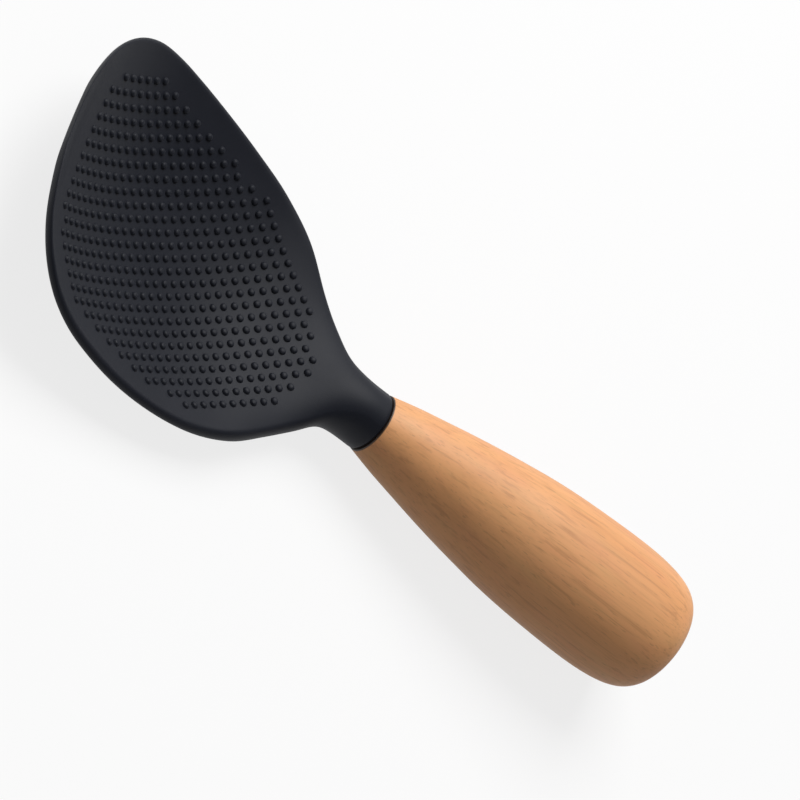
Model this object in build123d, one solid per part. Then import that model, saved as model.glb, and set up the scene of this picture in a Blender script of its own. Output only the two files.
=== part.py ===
from build123d import *
import math
import os

os.makedirs("parts", exist_ok=True)

# Rice paddle, in millimetres.
# It is drawn with the handle's axis along X: the joint between blade and handle at zero,
# the blade's tip at +X, the butt at -X and the scoop's hollow side up.
# At the end every piece is tipped together, so that the paddle lies on a table.

# Blade
blade_length = 114.0
blade_width = 80.2
neck_radius = 7.75
tip_height = 25.5
edge_radius = 1.4
skin_wall = 0.8
bond_gap = 0.05
joint_round = 0.4

# Raised bumps on the hollow face
bump_pitch_across = 3.75
bump_pitch_along = 4.88
bump_radius = 0.92
bump_height = 0.75
bump_rows = 35
bump_field_width = 64.6
first_row_at = 21.8

# Stiff core inside the blade, with its tang
tang_radius = 4.5
tang_length = 44.0
tang_chamfer = 1.0
groove_width = 2.0
groove_depth = 0.5
groove_pitch = 10.0
groove_count = 4

# Handle
handle_length = 96.0
bulb_radius = 16.9
butt_flat_radius = 6.7
glue_gap = 0.25
glue_set_back = 1.5
joint_gap = 0.05
mouth_chamfer = 0.6

# Cross-sections of the blade, from the joint to the tip. Each row holds, as shares:
# how far along the blade, how far the half width has grown from the neck's to the widest,
# how far the top line has climbed from the neck's top to the tip,
# how much of the neck's thickness is left (below zero where the tip is thinned),
# how strongly the top is arched (below zero where it is hollow), and the underside likewise.
section_shares = (
    (0.0, 0.0, 0.0, 1.0, 0.27, 0.27),
    (0.05, 0.003, -0.006, 0.97, 0.27, 0.27),
    (0.1, 0.0464, -0.07, 0.652, 0.27, 0.41),
    (0.152, 0.2118, -0.185, 0.376, 0.16, 0.241),
    (0.21, 0.405, -0.31, 0.206, 0.02, 0.186),
    (0.285, 0.6433, -0.43, 0.139, -0.11, 0.191),
    (0.385, 0.83, -0.545, 0.052, -0.183, 0.211),
    (0.5, 0.94, -0.555, 0.0, -0.215, 0.23),
    (0.61, 0.992, -0.438, 0.0, -0.222, 0.232),
    (0.7, 1.0, -0.262, 0.0, -0.217, 0.227),
    (0.78, 0.98, -0.05, 0.0, -0.204, 0.214),
    (0.85, 0.91, 0.208, 0.0, -0.181, 0.191),
    (0.91, 0.765, 0.482, 0.0, -0.148, 0.158),
    (0.955, 0.557, 0.725, 0.0, -0.11, 0.12),
    (0.985, 0.29, 0.925, 0.0, -0.068, 0.078),
    (0.997, 0.07, 0.99, -0.03, -0.036, 0.046),
    (1.0, -0.03, 1.0, -0.1, -0.025, 0.035),
)
core_sections = 13
core_reach_share = 0.88

# Edge of the field of bumps: share of the blade's length, share of the field's width.
field_shares = (
    (0.19, 0.1),
    (0.213, 0.25),
    (0.234, 0.42),
    (0.256, 0.48),
    (0.277, 0.54),
    (0.385, 0.835),
    (0.427, 0.94),
    (0.449, 0.96),
    (0.51, 0.96),
    (0.534, 1.0),
    (0.795, 1.0),
    (0.815, 0.95),
    (0.9, 0.72),
    (0.925, 0.54),
)

# How steeply the handle's outline leaves the joint: its rise as a share of its run.
mouth_slope_share = 0.2

# Turned outline of the handle: share of its length, share of the swell from neck to bulb.
handle_shares = (
    (0.084, 0.185),
    (0.167, 0.345),
    (0.25, 0.5),
    (0.334, 0.64),
    (0.418, 0.76),
    (0.5, 0.865),
    (0.585, 0.935),
    (0.669, 0.975),
    (0.752, 0.998),
    (0.8, 1.0),
    (0.86, 0.975),
    (0.913, 0.905),
    (0.957, 0.765),
    (0.984, 0.555),
    (0.996, 0.3),
)

half_width = blade_width / 2
bore_radius = tang_radius + glue_gap
bore_depth = tang_length + glue_gap


def share_between(rows, share):
    """Second column of a table, read in a straight line between two of its rows."""
    for (low, low_value), (high, high_value) in zip(rows, rows[1:]):
        if low <= share <= high:
            return low_value + (high_value - low_value) * (share - low) / (high - low)
    return 0


def oval(x, reach, edge, top, top_arch, under_arch):
    """Closed outline of four arcs, each running smoothly into the next."""
    middle = top - edge - reach * top_arch
    bottom = middle - edge - reach * under_arch
    top_turn = math.pi / 2 - 2 * math.atan(top_arch)
    under_turn = math.pi / 2 - 2 * math.atan(under_arch)
    side_turn = (top_turn - under_turn) / 2

    def side_point(sign, turn):
        return Vector(x, sign * (reach + edge * math.cos(turn)), middle + edge * math.sin(turn))

    arcs = [
        Edge.make_three_point_arc(side_point(-1, top_turn), Vector(x, 0, top), side_point(1, top_turn)),
        Edge.make_three_point_arc(
            side_point(1, top_turn), side_point(1, side_turn), side_point(1, -under_turn)
        ),
        Edge.make_three_point_arc(
            side_point(1, -under_turn), Vector(x, 0, bottom), side_point(-1, -under_turn)
        ),
        Edge.make_three_point_arc(
            side_point(-1, -under_turn), side_point(-1, side_turn), side_point(-1, top_turn)
        ),
    ]
    return Wire(arcs)


def blade_shape(rows, wall, reach_share):
    """Scoop-shaped body from round neck to thin tip, smaller all round by the wall."""
    outlines = []
    for along, spread, climb, root, top_arch, under_arch in rows:
        edge = edge_radius + (neck_radius - edge_radius) * root
        reach = neck_radius + (half_width - neck_radius) * spread - edge
        top = neck_radius + (tip_height - neck_radius) * climb
        outlines.append(
            oval(
                blade_length * along,
                reach * reach_share,
                edge - wall,
                top - wall,
                top_arch * reach_share,
                under_arch * reach_share,
            )
        )
    return Solid.make_loft(outlines)


def bump_places():
    """Middle of each bump, seen from above: rows across the blade, every second one staggered."""
    places = []
    row_step = bump_pitch_along / 2
    half_field = bump_field_width / 2
    for row in range(bump_rows):
        x = first_row_at + row * row_step
        limit = half_field * share_between(field_shares, x / blade_length)
        start = bump_pitch_across / 2 if row % 2 == 0 else 0
        count = math.floor((limit - start) / bump_pitch_across)
        for step in range(count + 1):
            y = start + step * bump_pitch_across
            places.append((x, y))
            if y > 0:
                places.append((x, -y))
    return places


def bumps_on(body):
    """Balls sunk in the hollow face, so that a low dome of each stands out."""
    ball_radius = (bump_radius**2 + bump_height**2) / (2 * bump_height)
    sink = ball_radius - bump_height
    hollow_face = body.faces().filter_by(GeomType.BSPLINE).sort_by(Axis.Z)
    hollow_face = max(hollow_face[-3:], key=lambda face: face.area)
    balls = []
    for x, y in bump_places():
        above = Axis((x, y, blade_length), (0, 0, -1))
        point, normal = hollow_face.find_intersection_points(above)[0]
        outward = normal if normal.Z > 0 else -normal
        balls.append(Solid.make_sphere(ball_radius, Plane(point - outward * sink)))
    return balls


def along_axis(radius, start, end):
    """Plain round bar on the handle's axis."""
    return Solid.make_cylinder(radius, end - start, Plane((start, 0, 0), z_dir=(1, 0, 0)))


def make_core():
    """Stiff plate inside the blade, one piece with the tang that goes into the handle."""
    plate = blade_shape(section_shares[:core_sections], skin_wall + bond_gap, core_reach_share)
    tang = along_axis(tang_radius, -tang_length, 0)
    end_edge = tang.edges().filter_by(GeomType.CIRCLE).sort_by(Axis.X)[0]
    tang = tang.chamfer(tang_chamfer, None, [end_edge])
    for number in range(groove_count):
        groove_end = -(number + 1 / 2) * groove_pitch
        ring = along_axis(tang_radius + groove_depth, groove_end - groove_width, groove_end)
        ring = ring - along_axis(tang_radius - groove_depth, groove_end - groove_width, groove_end)
        tang = tang - ring
    return plate + tang


def make_skin():
    """Soft outer moulding: neck, scoop and bumps in one piece, hollow for the core."""
    body = blade_shape(section_shares, 0, 1)
    hollow = blade_shape(section_shares[:core_sections], skin_wall, core_reach_share)
    balls = bumps_on(body)
    joint_edges = body.edges().group_by(Axis.X)[0]
    rounded = body.fillet(joint_round, joint_edges)
    return rounded.fuse(*balls) - hollow


def handle_outline():
    """Half of the turned outline, from the joint round to the butt."""
    swell = bulb_radius - neck_radius
    round_middle = joint_round * (1 - math.sqrt(1 / 2))
    front = Vector(-joint_gap, 0, 0)
    back = Vector(-handle_length, 0, 0)
    round_start = Vector(-joint_gap, 0, neck_radius - joint_round)
    round_through = Vector(-joint_gap - round_middle, 0, neck_radius - round_middle)
    points = [Vector(-joint_gap - joint_round, 0, neck_radius)]
    for along, share in handle_shares:
        points.append(Vector(-handle_length * along, 0, neck_radius + swell * share))
    points.append(Vector(-handle_length, 0, butt_flat_radius))
    side = Edge.make_spline(points, [Vector(-1, 0, mouth_slope_share), Vector(0, 0, -1)])
    rounding = Edge.make_three_point_arc(round_start, round_through, points[0])
    lines = [
        Edge.make_line(points[-1], back),
        Edge.make_line(back, front),
        Edge.make_line(front, round_start),
    ]
    return Face(Wire([side, *lines, rounding]))


def make_handle():
    """Turned beech handle with a blind hole for the tang."""
    turned = Solid.revolve(handle_outline(), 360, Axis.X)
    bored = turned - along_axis(bore_radius, -bore_depth, 0)
    mouth = bored.edges().filter_by(GeomType.CIRCLE).sort_by(Axis.X)[-2:]
    mouth = min(mouth, key=lambda edge: edge.radius)
    return bored.chamfer(mouth_chamfer, None, [mouth])


def make_glue(core):
    """Cured glue that fills the room between the tang and its hole."""
    return along_axis(bore_radius, -bore_depth, -glue_set_back) - core


def lying_down(pieces):
    """Tips all pieces together until blade and bulb touch the table, then sets them on it."""
    blade = pieces["skin_rest"]
    bulb = pieces["handle"]
    tilt = 0
    for _ in range(8):
        turn = Rot(0, tilt, 0)
        blade_low = (turn * blade).bounding_box().min.Z
        bulb_low = (turn * bulb).bounding_box().min.Z
        span = (blade_length + handle_length) / 2
        tilt += math.degrees(math.atan((blade_low - bulb_low) / span))
    return Rot(0, tilt, 0)


core = make_core()
skin = make_skin()
handle = make_handle()
glue = make_glue(core)

turn = lying_down({"skin_rest": blade_shape(section_shares, 0, 1), "handle": handle})
nodes = {"skin": skin, "core": core, "handle": handle, "glue": glue}
turned = {name: turn * solid for name, solid in nodes.items()}
low = min(turned[name].bounding_box().min.Z for name in ("skin", "handle"))
back = turned["handle"].bounding_box().min.X
front = turned["skin"].bounding_box().max.X
set_down = Pos(-(back + front) / 2, 0, -low)

for name, solid in turned.items():
    export_step(set_down * solid, f"parts/{name}.step")
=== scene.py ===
import math

import bmesh
import bpy
from mathutils import Matrix, Vector


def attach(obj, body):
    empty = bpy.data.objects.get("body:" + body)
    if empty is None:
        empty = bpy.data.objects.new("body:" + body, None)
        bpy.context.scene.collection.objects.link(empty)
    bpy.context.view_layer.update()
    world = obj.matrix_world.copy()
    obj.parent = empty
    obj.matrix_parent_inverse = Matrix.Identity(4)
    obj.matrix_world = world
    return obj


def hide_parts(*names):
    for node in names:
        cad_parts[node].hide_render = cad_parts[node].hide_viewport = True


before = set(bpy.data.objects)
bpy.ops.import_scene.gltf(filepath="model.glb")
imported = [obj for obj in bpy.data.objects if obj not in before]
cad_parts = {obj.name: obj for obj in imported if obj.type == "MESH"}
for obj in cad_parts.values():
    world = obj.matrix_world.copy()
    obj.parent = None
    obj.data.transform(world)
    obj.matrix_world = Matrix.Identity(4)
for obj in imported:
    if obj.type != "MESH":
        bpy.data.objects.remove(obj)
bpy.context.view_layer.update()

# Rice paddle: soft charcoal moulding with a field of small bumps, on a turned beech handle.
# The pieces are shaped with the handle's axis along X, the joint at x = 0, the blade's tip
# towards +X and the hollow side up. They are then tipped and set down as the paddle lies.
# All sizes are in metres.

# Blade
BLADE_LENGTH = 0.114
BLADE_HALF_WIDTH = 0.0401
NECK_RADIUS = 0.00775
TIP_HEIGHT = 0.0255
EDGE_RADIUS = 0.0014
WALL = 0.0008
JOINT_ROUND = 0.0004
CORE_ROWS = 13
CORE_REACH = 0.88

# Thin lip at the neck's end, which stands in the groove of the wood
LIP_RADIUS = 0.0073
LIP_LENGTH = 0.0004

# Share of the length, spread, climb, root, arch of the top, arch of the underside
SECTION_ROWS = (
    (0.0, 0.0, 0.0, 1.0, 0.27, 0.27),
    (0.05, 0.003, -0.006, 0.97, 0.27, 0.27),
    (0.1, 0.0464, -0.07, 0.652, 0.27, 0.41),
    (0.152, 0.2118, -0.185, 0.376, 0.16, 0.241),
    (0.21, 0.405, -0.31, 0.206, 0.02, 0.186),
    (0.285, 0.6433, -0.43, 0.139, -0.11, 0.191),
    (0.385, 0.83, -0.545, 0.052, -0.183, 0.211),
    (0.5, 0.94, -0.555, 0.0, -0.215, 0.23),
    (0.61, 0.992, -0.438, 0.0, -0.222, 0.232),
    (0.7, 1.0, -0.262, 0.0, -0.217, 0.227),
    (0.78, 0.98, -0.05, 0.0, -0.204, 0.214),
    (0.85, 0.91, 0.208, 0.0, -0.181, 0.191),
    (0.91, 0.765, 0.482, 0.0, -0.148, 0.158),
    (0.955, 0.557, 0.725, 0.0, -0.11, 0.12),
    (0.985, 0.29, 0.925, 0.0, -0.068, 0.078),
    (0.997, 0.07, 0.99, -0.03, -0.036, 0.046),
    (1.0, -0.03, 1.0, -0.1, -0.025, 0.035),
)
RING_STEP = 0.0026
TOP_PARTS = 10
RIM_PARTS = 8
UNDER_PARTS = 8

# Bumps
BUMP_PITCH_ACROSS = 0.00375
BUMP_PITCH_ALONG = 0.00488
BUMP_ROWS = 35
BUMP_FIELD_WIDTH = 0.0646
FIRST_ROW_AT = 0.0218
FIELD_EDGE = (
    (0.19, 0.1),
    (0.213, 0.25),
    (0.234, 0.42),
    (0.256, 0.48),
    (0.277, 0.54),
    (0.385, 0.835),
    (0.427, 0.94),
    (0.449, 0.96),
    (0.51, 0.96),
    (0.534, 1.0),
    (0.795, 1.0),
    (0.815, 0.95),
    (0.9, 0.72),
    (0.925, 0.54),
)
BUMP_SIDES = 10
BUMP_RINGS = (
    (0.00105, -0.00006),
    (0.00092, 0.00008),
    (0.00084, 0.00036),
    (0.0006, 0.00056),
    (0.0003, 0.00062),
)
BUMP_TOP = 0.00064

# Handle
HANDLE_LENGTH = 0.096
BULB_RADIUS = 0.0169
BUTT_FLAT_RADIUS = 0.0067
JOINT_GAP = 0.00005
BORE_RADIUS = 0.00475
BORE_DEPTH = 0.04425
MOUTH_CHAMFER = 0.0006
HANDLE_SIDES = 48
HANDLE_ROWS = (
    (0.0072, 0.005),
    (0.084, 0.185),
    (0.167, 0.345),
    (0.25, 0.5),
    (0.334, 0.64),
    (0.418, 0.76),
    (0.5, 0.865),
    (0.585, 0.935),
    (0.669, 0.975),
    (0.752, 0.998),
    (0.8, 1.0),
    (0.86, 0.975),
    (0.913, 0.905),
    (0.957, 0.765),
    (0.984, 0.555),
    (0.996, 0.3),
    (1.0, -0.115),
)

# Groove in the wood's end at the joint, and where along the axis the wood's end is painted near black
# as the groove's shade
SHADOW_GROOVE = 0.00045
SHADOW_GROOVE_RADIUS = 0.0069
PAINTED_JOINT_SHADE = (-0.0010, -0.0007)

# How the paddle lies: tipped about Y until blade and bulb touch the table
TIP_ANGLE = math.radians(5.549218)
JOINT_PLACE = Vector((-0.0098046, 0, 0.0109523))
AS_IT_LIES = Matrix.Translation(JOINT_PLACE) @ Matrix.Rotation(TIP_ANGLE, 4, "Y")

# Studio: the camera in millimetres of lens and metres of place, the lamp and the pale ground
LENS = 406.94
SENSOR = 36
CAMERA_PLACE = Vector((1.026556, 1.103859, 1.486220))
LOOKED_AT = Vector((-0.011557, -0.006119, 0.016768))
CAMERA_UP = Vector((0.57340, -0.79623, 0.19297))
LAMP_TOWARDS = (0.13, -0.56, 0.82)
LAMP_DISTANCE = 1.6
LAMP_SIZE = 1.1
LAMP_POWER = 28
FILL = 0.16
FLOOR_SIZE = 6
FLOOR_COVER = 0.8


# Helpers for shaping


def deselect_everything():
    """Leaves edit mode, if it is open, and selects nothing."""
    if bpy.context.object and bpy.context.object.mode == "EDIT":
        bpy.ops.object.mode_set(mode="OBJECT")
    bpy.ops.object.select_all(action="DESELECT")


def open_for_shaping(name):
    """Names the primitive that was just added and opens it in edit mode, selected all over."""
    piece = bpy.context.object
    piece.name = name
    piece.data.name = name
    bpy.ops.object.transform_apply(location=True, rotation=True, scale=True)
    bpy.ops.object.mode_set(mode="EDIT")
    bpy.ops.mesh.select_all(action="SELECT")
    return piece


def pick(piece, wanted):
    """Selects the points that the test names, and the edges and faces between them."""
    mesh = bmesh.from_edit_mesh(piece.data)
    mesh.select_mode = {"VERT"}
    for point in mesh.verts:
        point.select = wanted(point)
    mesh.select_flush_mode()
    bmesh.update_edit_mesh(piece.data)


def close_ends():
    """Closes both open ends with faces that stay inside their outline."""
    bpy.ops.mesh.select_all(action="SELECT")
    bpy.ops.mesh.fill_holes(sides=0)
    bpy.ops.mesh.select_all(action="DESELECT")
    bpy.ops.mesh.select_face_by_sides(number=4, type="GREATER")
    bpy.ops.mesh.quads_convert_to_tris(ngon_method="CLIP")


def close_shaping(piece):
    """Merges doubles, turns the faces outwards and leaves edit mode."""
    bpy.ops.mesh.select_all(action="SELECT")
    bpy.ops.mesh.remove_doubles(threshold=0.000001)
    bpy.ops.mesh.normals_make_consistent(inside=False)
    bpy.ops.object.mode_set(mode="OBJECT")
    return piece


def apply_modifier(piece, kind, **settings):
    """Adds a modifier with its settings and applies it."""
    modifier = piece.modifiers.new(kind.lower(), kind)
    for setting, value in settings.items():
        setattr(modifier, setting, value)
    bpy.ops.object.modifier_apply(modifier=modifier.name)


def smooth_skin(piece, levels):
    """Rounds the piece between its points and shades it smooth."""
    apply_modifier(piece, "SUBSURF", levels=levels, render_levels=levels)
    bpy.ops.object.shade_smooth()


def lay_down(piece):
    """Tips the piece and sets it down, with its place kept in its mesh."""
    deselect_everything()
    piece.select_set(True)
    bpy.context.view_layer.objects.active = piece
    piece.matrix_world = AS_IT_LIES
    bpy.ops.object.transform_apply(location=True, rotation=True, scale=True)


def smooth_rows(rows, spans, step):
    """More rows between the given ones, on a smooth curve through them."""
    slopes = []
    for number in range(len(rows)):
        before = max(number - 1, 0)
        after = min(number + 1, len(rows) - 1)
        slope = []
        for column in range(len(rows[0])):
            low = (rows[number][column] - rows[before][column]) / (spans[before] if number else 1)
            high = (rows[after][column] - rows[number][column]) / (
                spans[number] if number < len(spans) else 1
            )
            if number == 0:
                slope.append(high)
            elif number == len(rows) - 1:
                slope.append(low)
            else:
                reach = spans[before] + spans[number]
                slope.append((low * spans[number] + high * spans[before]) / reach)
        slopes.append(slope)
    dense = [rows[0]]
    for number, span in enumerate(spans):
        parts = max(1, math.ceil(span / step))
        for part in range(1, parts + 1):
            share = part / parts
            lead = 2 * share**3 - 3 * share**2 + 1
            leave = (share**3 - 2 * share**2 + share) * span
            arrive = (share**3 - share**2) * span
            dense.append(
                tuple(
                    rows[number][c] * lead
                    + rows[number + 1][c] * (1 - lead)
                    + slopes[number][c] * leave
                    + slopes[number + 1][c] * arrive
                    for c in range(len(rows[0]))
                )
            )
    return dense


# The blade


def section_size(row):
    """Rim radius, reach of the rim's middle and height of the top of one section."""
    along, spread, climb, root, top_arch, under_arch = row
    rim = EDGE_RADIUS + (NECK_RADIUS - EDGE_RADIUS) * root
    reach = NECK_RADIUS + (BLADE_HALF_WIDTH - NECK_RADIUS) * spread - rim
    top = NECK_RADIUS + (TIP_HEIGHT - NECK_RADIUS) * climb
    return rim, reach, top


def section_spans():
    """How far each section of the blade is from the next."""
    spans = []
    for low, high in zip(SECTION_ROWS, SECTION_ROWS[1:]):
        run = BLADE_LENGTH * (high[0] - low[0])
        low_rim, low_reach, low_top = section_size(low)
        high_rim, high_reach, high_top = section_size(high)
        widen = high_reach + high_rim - low_reach - low_rim
        spans.append(math.hypot(run, widen, high_top - low_top))
    return spans


def arc_side(reach, rim, arch, parts):
    """Half of one long arc of a section: distances outwards and drops from its crown."""
    arch = arch if abs(arch) > 0.0001 else 0.0001
    radius = reach * (1 + arch * arch) / (2 * arch) + rim
    turn = 2 * math.atan(arch)
    steps = [0.3 * n / parts + 0.7 * math.sin(math.pi / 2 * n / parts) for n in range(parts + 1)]
    return [(radius * math.sin(turn * s), radius * (1 - math.cos(turn * s))) for s in steps]


def half_section(row, wall, reach_share):
    """Points of the right half of one section, from its crown round the rim to its keel."""
    top_arch = row[4] * reach_share
    under_arch = row[5] * reach_share
    rim, reach, top = section_size(row)
    rim, reach, top = rim - wall, reach * reach_share, top - wall
    reach = max(reach, 0.00001)
    middle = top - rim - reach * top_arch
    bottom = middle - rim - reach * under_arch
    x = BLADE_LENGTH * row[0]
    points = [Vector((x, out, top - drop)) for out, drop in arc_side(reach, rim, top_arch, TOP_PARTS)]
    start = math.pi / 2 - 2 * math.atan(top_arch)
    end = -math.pi / 2 + 2 * math.atan(under_arch)
    for part in range(1, RIM_PARTS):
        turn = start + (end - start) * part / RIM_PARTS
        points.append(Vector((x, reach + rim * math.cos(turn), middle + rim * math.sin(turn))))
    under = arc_side(reach, rim, under_arch, UNDER_PARTS)
    points += [Vector((x, out, bottom + drop)) for out, drop in reversed(under)]
    return points


def neck_ring(x, radius):
    """Plain half ring at the joint, with as many points as a section."""
    ring = half_section(SECTION_ROWS[0], 0, 1)
    return [Vector((x, p.y * radius / NECK_RADIUS, p.z * radius / NECK_RADIUS)) for p in ring]


def in_order(mesh):
    """The selected points, walked from the crown to the keel."""
    ends = [v for v in mesh.verts if v.select and sum(e.select for e in v.link_edges) == 1]
    point = max(ends, key=lambda v: v.co.z)
    walk = [point]
    edge = None
    while True:
        onward = [e for e in point.link_edges if e.select and e is not edge]
        if not onward:
            return walk
        edge = onward[0]
        point = edge.other_vert(point)
        walk.append(point)


def flattened(ring):
    """The tip's last ring, pinched a little towards its middle to close it softly."""
    middle = (ring[0].z + ring[-1].z) / 2
    return [Vector((p.x, p.y * 0.9, middle + (p.z - middle) / 2)) for p in ring]


def place_ring(piece, places):
    """Moves the points of the selected open ring to their places, one by one."""
    mesh = bmesh.from_edit_mesh(piece.data)
    walk = in_order(mesh)
    bpy.ops.mesh.select_all(action="DESELECT")
    for point, place in zip(walk, places):
        point.select_set(True)
        bpy.ops.transform.translate(value=place - point.co)
        point.select_set(False)
    for point in walk:
        point.select_set(True)
    mesh.select_flush(True)
    bmesh.update_edit_mesh(piece.data)


def make_blade():
    """Neck and scoop in one hollow moulding, from the room for the core out to the tip."""
    spans = section_spans()
    outside = smooth_rows(SECTION_ROWS, spans, RING_STEP)
    inside = smooth_rows(SECTION_ROWS[:CORE_ROWS], spans[: CORE_ROWS - 1], 2 * RING_STEP)
    bore = NECK_RADIUS - WALL
    neck_end = (
        (-LIP_LENGTH, bore),
        (-LIP_LENGTH, LIP_RADIUS),
        (0, LIP_RADIUS),
        (0, NECK_RADIUS - JOINT_ROUND),
        (JOINT_ROUND / 4, NECK_RADIUS - JOINT_ROUND / 4),
        (JOINT_ROUND, NECK_RADIUS),
        (JOINT_ROUND * 3, NECK_RADIUS),
    )
    rings = [half_section(row, WALL, CORE_REACH) for row in reversed(inside[1:])]
    rings += [neck_ring(x, radius) for x, radius in neck_end]
    rings += [half_section(row, 0, 1) for row in outside[1:]]
    rings.append(flattened(rings[-1]))

    around = 2 * (len(rings[0]) - 1)
    deselect_everything()
    bpy.ops.mesh.primitive_circle_add(
        vertices=around, radius=NECK_RADIUS, rotation=(0, math.pi / 2, 0)
    )
    blade = open_for_shaping("blade")
    pick(blade, lambda point: point.co.y < -EDGE_RADIUS / 100)
    bpy.ops.mesh.delete(type="VERT")
    bpy.ops.mesh.select_all(action="SELECT")
    place_ring(blade, rings[0])
    for ring in rings[1:]:
        bpy.ops.mesh.extrude_region_move()
        place_ring(blade, ring)
    close_shaping(blade)
    apply_modifier(
        blade, "MIRROR", use_axis=(False, True, False), merge_threshold=EDGE_RADIUS / 200
    )
    bpy.ops.object.mode_set(mode="EDIT")
    close_ends()
    close_shaping(blade)
    smooth_skin(blade, 2)
    return blade


# The bumps


def share_between(rows, share):
    """Second column of a table, read in a straight line between two of its rows."""
    for (low, low_value), (high, high_value) in zip(rows, rows[1:]):
        if low <= share <= high:
            return low_value + (high_value - low_value) * (share - low) / (high - low)
    return 0


def bump_places():
    """Middle of each bump, seen from above: rows across the blade, every second one staggered."""
    places = []
    for row in range(BUMP_ROWS):
        x = FIRST_ROW_AT + row * BUMP_PITCH_ALONG / 2
        limit = BUMP_FIELD_WIDTH / 2 * share_between(FIELD_EDGE, x / BLADE_LENGTH)
        start = BUMP_PITCH_ACROSS / 2 if row % 2 == 0 else 0
        for step in range(math.floor((limit - start) / BUMP_PITCH_ACROSS) + 1):
            y = start + step * BUMP_PITCH_ACROSS
            places.append((x, y))
            if y > 0:
                places.append((x, -y))
    return places


def make_one_bump():
    """Low dome whose foot runs out into the blade's surface."""
    foot, low = BUMP_RINGS[0]
    deselect_everything()
    bpy.ops.mesh.primitive_circle_add(
        vertices=BUMP_SIDES, radius=foot, fill_type="NGON", location=(0, 0, low)
    )
    bump = open_for_shaping("bump")
    for radius, height in BUMP_RINGS[1:] + ((0.0, BUMP_TOP),):
        bpy.ops.mesh.extrude_region_move(
            TRANSFORM_OT_translate={"value": (0, 0, height - low)}
        )
        share = max(radius, foot / 1000) / foot
        bpy.ops.transform.resize(value=(share, share, 1))
        foot, low = max(radius, foot / 1000), height
    bpy.ops.mesh.merge(type="CENTER")
    close_shaping(bump)
    bpy.ops.object.shade_smooth()
    return bump


def make_bumps(blade):
    """The whole field of bumps, each one standing square on the blade's hollow face."""
    bump = make_one_bump()
    copies = [bump]
    for number, (x, y) in enumerate(bump_places()):
        _, place, normal, _ = blade.ray_cast(Vector((x, y, BLADE_LENGTH)), Vector((0, 0, -1)))
        standing = Matrix.Translation(place) @ normal.to_track_quat("Z", "Y").to_matrix().to_4x4()
        if number:
            copy = bump.copy()
            copy.data = bump.data.copy()
            bpy.context.scene.collection.objects.link(copy)
            copies.append(copy)
        copies[number].matrix_world = standing
    deselect_everything()
    for copy in copies:
        copy.select_set(True)
    bpy.context.view_layer.objects.active = bump
    bpy.ops.object.join()
    bumps = bpy.context.object
    bumps.name = "bumps"
    bumps.data.name = "bumps"
    bpy.ops.object.transform_apply(location=True, rotation=True, scale=True)
    return bumps


# The handle


def handle_stations():
    """Turned outline as place along the axis and radius, from the joint to the butt."""
    swell = BULB_RADIUS - NECK_RADIUS
    spans = []
    for (low, low_share), (high, high_share) in zip(HANDLE_ROWS, HANDLE_ROWS[1:]):
        spans.append(math.hypot(HANDLE_LENGTH * (high - low), swell * (high_share - low_share)))
    outline = smooth_rows(HANDLE_ROWS, spans, RING_STEP)
    return [(-HANDLE_LENGTH * along, NECK_RADIUS + swell * share) for along, share in outline]


def make_handle():
    """Beech handle, drilled from the joint, then turned along its outline to the butt."""
    hold = JOINT_ROUND / 8
    stations = [
        (-BORE_DEPTH, BORE_RADIUS),
        (-BORE_DEPTH + hold, BORE_RADIUS),
        (-BORE_DEPTH / 2, BORE_RADIUS),
        (-JOINT_GAP - MOUTH_CHAMFER - hold, BORE_RADIUS),
        (-JOINT_GAP - MOUTH_CHAMFER, BORE_RADIUS),
        (-JOINT_GAP - hold, BORE_RADIUS + MOUTH_CHAMFER - hold),
        (-JOINT_GAP, BORE_RADIUS + MOUTH_CHAMFER),
        (-JOINT_GAP, SHADOW_GROOVE_RADIUS),
        (-JOINT_GAP - SHADOW_GROOVE, SHADOW_GROOVE_RADIUS),
        (-JOINT_GAP - SHADOW_GROOVE, NECK_RADIUS - JOINT_ROUND / 4),
        (-JOINT_GAP - SHADOW_GROOVE - JOINT_ROUND / 8, NECK_RADIUS),
        *handle_stations(),
        (-HANDLE_LENGTH, BUTT_FLAT_RADIUS / 2),
    ]
    x, radius = -BORE_DEPTH, BORE_RADIUS * 0.8
    deselect_everything()
    bpy.ops.mesh.primitive_circle_add(
        vertices=HANDLE_SIDES, radius=radius, location=(x, 0, 0), rotation=(0, math.pi / 2, 0)
    )
    handle = open_for_shaping("handle")
    for next_x, next_radius in stations:
        bpy.ops.mesh.extrude_region_move(TRANSFORM_OT_translate={"value": (next_x - x, 0, 0)})
        share = next_radius / radius
        bpy.ops.transform.resize(value=(1, share, share), center_override=(next_x, 0, 0))
        x, radius = next_x, next_radius
    close_ends()
    close_shaping(handle)
    smooth_skin(handle, 2)
    return handle


# Finishes


class Wire:
    """A socket of a finish, so that sums on it can be written as sums."""

    def __init__(self, finish, socket):
        self.finish = finish
        self.socket = socket

    def sum(self, operation, *values):
        """One step of arithmetic on values."""
        return self.finish.node("ShaderNodeMath", {"operation": operation}, dict(enumerate(values)))

    def __add__(self, other):
        return self.sum("ADD", self, other)

    def __sub__(self, other):
        return self.sum("SUBTRACT", self, other)

    def __mul__(self, other):
        return self.sum("MULTIPLY", self, other)

    def __pow__(self, other):
        return self.sum("POWER", self, other)

    def __rsub__(self, other):
        return self.sum("SUBTRACT", other, self)

    __radd__ = __add__
    __rmul__ = __mul__

    def between(self, low, high):
        """0 below low, 1 above high, and a soft rise between."""
        sockets = {"Value": self, "From Min": low, "From Max": high}
        return self.finish.node("ShaderNodeMapRange", {"interpolation_type": "SMOOTHSTEP"}, sockets)


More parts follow.
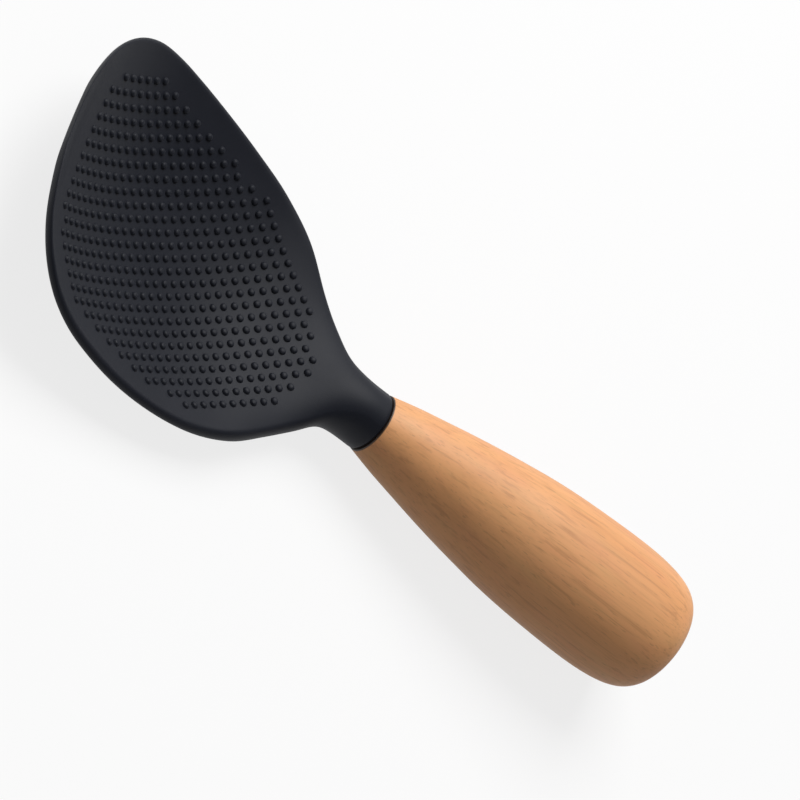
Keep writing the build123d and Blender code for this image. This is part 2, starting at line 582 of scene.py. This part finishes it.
class Finish:
    """A procedural material under its own name."""

    def __init__(self, name):
        self.material = bpy.data.materials.new(name)
        self.material.use_nodes = True
        self.tree = self.material.node_tree
        self.tree.nodes.clear()

    def node(self, kind, settings=None, sockets=None, out=0):
        """Adds a node with its settings and what its sockets hold, and gives one of its outputs."""
        node = self.tree.nodes.new(kind)
        for setting, value in (settings or {}).items():
            if setting == "stops":
                self.set_stops(node.color_ramp, value)
            else:
                setattr(node, setting, value)
        for name, value in (sockets or {}).items():
            if isinstance(value, Wire):
                self.tree.links.new(value.socket, node.inputs[name])
            else:
                node.inputs[name].default_value = value
        return Wire(self, node.outputs[out]) if node.outputs else node

    def set_stops(self, ramp, stops):
        """Sets a ramp's places and colours."""
        while len(ramp.elements) < len(stops):
            ramp.elements.new(0.5)
        for element, (position, colour) in zip(ramp.elements, stops):
            element.position = position
            element.color = (*colour, 1)

    def own_place(self):
        """Place on the piece in metres, with X along the handle's axis and the joint at 0."""
        coordinates = self.node("ShaderNodeTexCoord", out="Object")
        settings = {"vector_type": "TEXTURE"}
        turn = (0, TIP_ANGLE, 0)
        sockets = {"Vector": coordinates, "Location": JOINT_PLACE, "Rotation": turn}
        return self.node("ShaderNodeMapping", settings, sockets)

    def stretched(self, place, scale, turn=(0, 0, 0)):
        """The place turned and scaled along each axis."""
        sockets = {"Vector": place, "Rotation": turn, "Scale": scale}
        return self.node("ShaderNodeMapping", None, sockets)

    def moved(self, place, step):
        """The place moved by a step."""
        return self.node("ShaderNodeVectorMath", {"operation": "ADD"}, {0: place, 1: step})

    def noise(self, place, scale=1.0, detail=2.0, roughness=0.5):
        """Soft cloudy pattern from 0 to 1."""
        sockets = {"Vector": place, "Scale": scale, "Detail": detail, "Roughness": roughness}
        return self.node("ShaderNodeTexNoise", None, sockets)

    def blend(self, share, low, high):
        """Mixes two colours."""
        low = low if isinstance(low, Wire) else (*low, 1)
        high = high if isinstance(high, Wire) else (*high, 1)
        settings = {"data_type": "RGBA", "clamp_factor": True}
        return self.node("ShaderNodeMix", settings, {0: share, 6: low, 7: high}, out=2)

    def bump(self, height, strength, distance):
        """Fine relief for the surface's normal."""
        sockets = {"Height": height, "Strength": strength, "Distance": distance}
        return self.node("ShaderNodeBump", None, sockets)

    def done(self, **sockets):
        """Puts the surface on the finish: a name in the call is a socket of the main shader."""
        named = {name.replace("_", " "): value for name, value in sockets.items()}
        shader = self.node("ShaderNodeBsdfPrincipled", None, named)
        self.node("ShaderNodeOutputMaterial", None, {"Surface": shader})
        return self.material


def charcoal_moulding():
    """Soft dark moulding with a fine matt skin."""
    finish = Finish("charcoal_moulding")
    place = finish.own_place()
    cloud = finish.noise(place, 45, 3)
    grain = finish.noise(place, 2600, 2)
    flow = finish.noise(finish.stretched(place, (30, 160, 160)), 1, 2)
    tone = finish.blend(cloud.between(0.3, 0.7), (0.0092, 0.0108, 0.0170), (0.0122, 0.0138, 0.0205))
    tone = finish.blend(grain.between(0.45, 0.8) * 0.5, tone, (0.016, 0.0175, 0.023))
    roughness = 0.45 + 0.1 * cloud + 0.1 * grain - 0.05 * flow
    return finish.done(
        Base_Color=tone,
        Roughness=roughness,
        Specular_IOR_Level=0.18,
        Normal=finish.bump(grain + 0.6 * flow, 0.25, 0.00005),
    )


def oiled_beech():
    """Turned beech: fine fibres, thin brown lines and flecks along the axis, and painted shade on its
    end at the joint.
    """
    finish = Finish("oiled_beech")
    place = finish.own_place()
    warp = finish.noise(finish.stretched(place, (14, 70, 70)), 1, 2)
    from_pith = finish.node(
        "ShaderNodeVectorMath",
        {"operation": "LENGTH"},
        {0: finish.stretched(finish.moved(place, (0, 0.031, 0.052)), (0.05, 1, 1))},
        out="Value",
    )
    bands = finish.node("ShaderNodeMath", {"operation": "SINE"}, {0: from_pith * 2300 + warp * 9})
    late = (bands * 0.5 + 0.5) ** 3
    line = finish.noise(finish.stretched(place, (9, 1150, 1150), (0, 0, 0.02)), 1, 2)
    fibre = finish.noise(finish.stretched(place, (95, 1900, 1900), (0, 0, 0.03)), 1, 3)
    streak = finish.noise(finish.stretched(place, (34, 900, 900), (0, 0, 0.03)), 1, 3, 0.6)
    fleck = finish.noise(finish.stretched(place, (260, 2700, 2700), (0, 0, 0.03)), 1, 1)
    blush = finish.noise(finish.stretched(place, (60, 190, 190)), 1, 2)
    olive = finish.noise(finish.stretched(place, (45, 260, 260), (0.6, 0, 0)), 1, 2)
    tone = finish.blend(warp.between(0.3, 0.7), (0.885, 0.440, 0.190), (0.80, 0.372, 0.148))
    tone = finish.blend(late * 0.08, tone, (0.52, 0.24, 0.10))
    tone = finish.blend(blush.between(0.45, 0.75) * 0.35, tone, (0.80, 0.34, 0.16))
    tone = finish.blend(olive.between(0.5, 0.8) * 0.2, tone, (0.62, 0.39, 0.16))
    tone = finish.blend(streak.between(0.48, 0.75) * 0.28, tone, (0.54, 0.235, 0.095))
    tone = finish.blend(line.between(0.56, 0.7) * 0.32, tone, (0.44, 0.18, 0.07))
    tone = finish.blend(fibre.between(0.5, 0.8) * 0.2, tone, (0.42, 0.18, 0.08))
    tone = finish.blend(fleck.between(0.64, 0.74) * 0.3, tone, (0.34, 0.15, 0.07))
    # Painted shade: the wood's end next to the joint is darkened to a near black brown, which stands
    # in for the shadow in the groove.
    along = finish.node("ShaderNodeSeparateXYZ", None, {"Vector": place}, out="X")
    tone = finish.blend(along.between(*PAINTED_JOINT_SHADE), tone, (0.030, 0.017, 0.011))
    height = fibre * 0.5 + streak - fleck.between(0.6, 0.7)
    return finish.done(
        Base_Color=tone,
        Roughness=0.46 + 0.14 * fibre,
        Normal=finish.bump(height, 0.2, 0.00006),
    )


def dark_core():
    """Stiff filled moulding: near black, with short pale fibres in it."""
    finish = Finish("filled_core")
    place = finish.own_place()
    fibre = finish.noise(finish.stretched(place, (900, 5200, 5200)), 1, 1)
    cloud = finish.noise(place, 60, 3)
    tone = finish.blend(cloud, (0.020, 0.020, 0.022), (0.034, 0.034, 0.037))
    tone = finish.blend(fibre.between(0.64, 0.72) * 0.6, tone, (0.14, 0.14, 0.14))
    return finish.done(
        Base_Color=tone,
        Roughness=0.42 + 0.2 * cloud,
        Normal=finish.bump(fibre + cloud, 0.2, 0.00004),
    )


def cured_glue():
    """Amber glue, clouded, with fine bubbles."""
    finish = Finish("cured_glue")
    place = finish.own_place()
    cloud = finish.noise(place, 220, 3)
    bubble = finish.node(
        "ShaderNodeTexVoronoi", None, {"Vector": place, "Scale": 1500}, out="Distance"
    )
    tone = finish.blend(cloud.between(0.3, 0.7), (0.62, 0.47, 0.22), (0.76, 0.66, 0.42))
    tone = finish.blend(1 - bubble.between(0.1, 0.3), tone, (0.84, 0.78, 0.60))
    return finish.done(
        Base_Color=tone,
        Roughness=0.22 + 0.2 * cloud,
        Normal=finish.bump(bubble, 0.2, 0.00005),
    )


def dress(piece, material):
    """Gives the piece one material all over."""
    piece.data.materials.clear()
    piece.data.materials.append(material)


# Studio


def seen_straight(tree):
    """1 for what the camera sees directly, in gloss or through glass, 0 for lighting."""
    path = tree.nodes.new("ShaderNodeLightPath")
    total = None
    for name in ("Is Camera Ray", "Is Glossy Ray", "Is Transmission Ray"):
        if total is None:
            total = path.outputs[name]
            continue
        add = tree.nodes.new("ShaderNodeMath")
        add.operation = "MAXIMUM"
        tree.links.new(total, add.inputs[0])
        tree.links.new(path.outputs[name], add.inputs[1])
        total = add.outputs[0]
    return total


def white_world(fill):
    """White round the horizon, dimmer overhead where gloss sees it, and an even fill for the rest."""
    world = bpy.data.worlds.new("studio")
    bpy.context.scene.world = world
    world.use_nodes = True
    tree = world.node_tree
    tree.nodes.clear()
    background = tree.nodes.new("ShaderNodeBackground")
    background.inputs["Color"].default_value = (1, 1, 1, 1)
    direction = tree.nodes.new("ShaderNodeTexCoord")
    parts = tree.nodes.new("ShaderNodeSeparateXYZ")
    tree.links.new(direction.outputs["Generated"], parts.inputs[0])
    ceiling = tree.nodes.new("ShaderNodeMapRange")
    ceiling.interpolation_type = "SMOOTHSTEP"
    ceiling.inputs["From Min"].default_value = 0.15
    ceiling.inputs["From Max"].default_value = 0.55
    ceiling.inputs["To Min"].default_value = 1.0
    ceiling.inputs["To Max"].default_value = 0.1
    tree.links.new(parts.outputs["Z"], ceiling.inputs["Value"])
    level = tree.nodes.new("ShaderNodeMapRange")
    level.inputs["To Min"].default_value = fill
    tree.links.new(ceiling.outputs[0], level.inputs["To Max"])
    tree.links.new(seen_straight(tree), level.inputs["Value"])
    tree.links.new(level.outputs[0], background.inputs["Strength"])
    output = tree.nodes.new("ShaderNodeOutputWorld")
    tree.links.new(background.outputs[0], output.inputs["Surface"])


def white_floor(cover):
    """Pale floor that the camera sees near white, with the paddle's shadow on it."""
    deselect_everything()
    bpy.ops.mesh.primitive_plane_add(size=FLOOR_SIZE)
    floor = bpy.context.object
    floor.name = "floor"
    material = bpy.data.materials.new("floor_paint")
    material.use_nodes = True
    tree = material.node_tree
    tree.nodes.clear()
    seen = seen_straight(tree)
    paint = tree.nodes.new("ShaderNodeMapRange")
    paint.inputs["To Min"].default_value = 0.3
    paint.inputs["To Max"].default_value = 0.9
    tree.links.new(seen, paint.inputs["Value"])
    matt = tree.nodes.new("ShaderNodeBsdfDiffuse")
    tree.links.new(paint.outputs[0], matt.inputs["Color"])
    glow = tree.nodes.new("ShaderNodeEmission")
    share = tree.nodes.new("ShaderNodeMath")
    share.operation = "MULTIPLY"
    share.inputs[1].default_value = cover
    tree.links.new(seen, share.inputs[0])
    mix = tree.nodes.new("ShaderNodeMixShader")
    tree.links.new(share.outputs[0], mix.inputs[0])
    tree.links.new(matt.outputs[0], mix.inputs[1])
    tree.links.new(glow.outputs[0], mix.inputs[2])
    output = tree.nodes.new("ShaderNodeOutputMaterial")
    tree.links.new(mix.outputs[0], output.inputs["Surface"])
    floor.data.materials.append(material)


def soft_light(name, towards, distance, size, power):
    """Square soft light that looks at the middle of the paddle."""
    lamp = bpy.data.lights.new(name, "AREA")
    lamp.size = size
    lamp.energy = power
    light = bpy.data.objects.new(name, lamp)
    bpy.context.scene.collection.objects.link(light)
    light.location = Vector(towards).normalized() * distance
    light.rotation_euler = Vector(towards).to_track_quat("Z", "Y").to_euler()


def camera_as_in_photo():
    """Long lens from above the blade's tip side, rolled so that the handle runs down to the right."""
    lens = bpy.data.cameras.new("camera")
    lens.lens = LENS
    lens.sensor_width = SENSOR
    lens.clip_start = 0.1
    lens.clip_end = 20
    camera = bpy.data.objects.new("camera", lens)
    bpy.context.scene.collection.objects.link(camera)
    back = (CAMERA_PLACE - LOOKED_AT).normalized()
    right = CAMERA_UP.cross(back).normalized()
    turn = Matrix((right, back.cross(right), back)).transposed().to_4x4()
    camera.matrix_world = Matrix.Translation(CAMERA_PLACE) @ turn
    bpy.context.scene.camera = camera


# The whole paddle

blade = make_blade()
bumps = make_bumps(blade)
handle = make_handle()
for piece in (blade, bumps, handle):
    lay_down(piece)

moulding = charcoal_moulding()
dress(blade, moulding)
dress(bumps, moulding)
dress(handle, oiled_beech())
dress(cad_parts["core"], dark_core())
dress(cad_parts["glue"], cured_glue())

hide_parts("skin")
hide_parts("skin")
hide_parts("handle")
for piece in (blade, bumps, handle):
    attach(piece, "root")

white_world(FILL)
white_floor(FLOOR_COVER)
soft_light("overhead", LAMP_TOWARDS, LAMP_DISTANCE, LAMP_SIZE, LAMP_POWER)
camera_as_in_photo()

bpy.context.scene.view_settings.view_transform = "Standard"
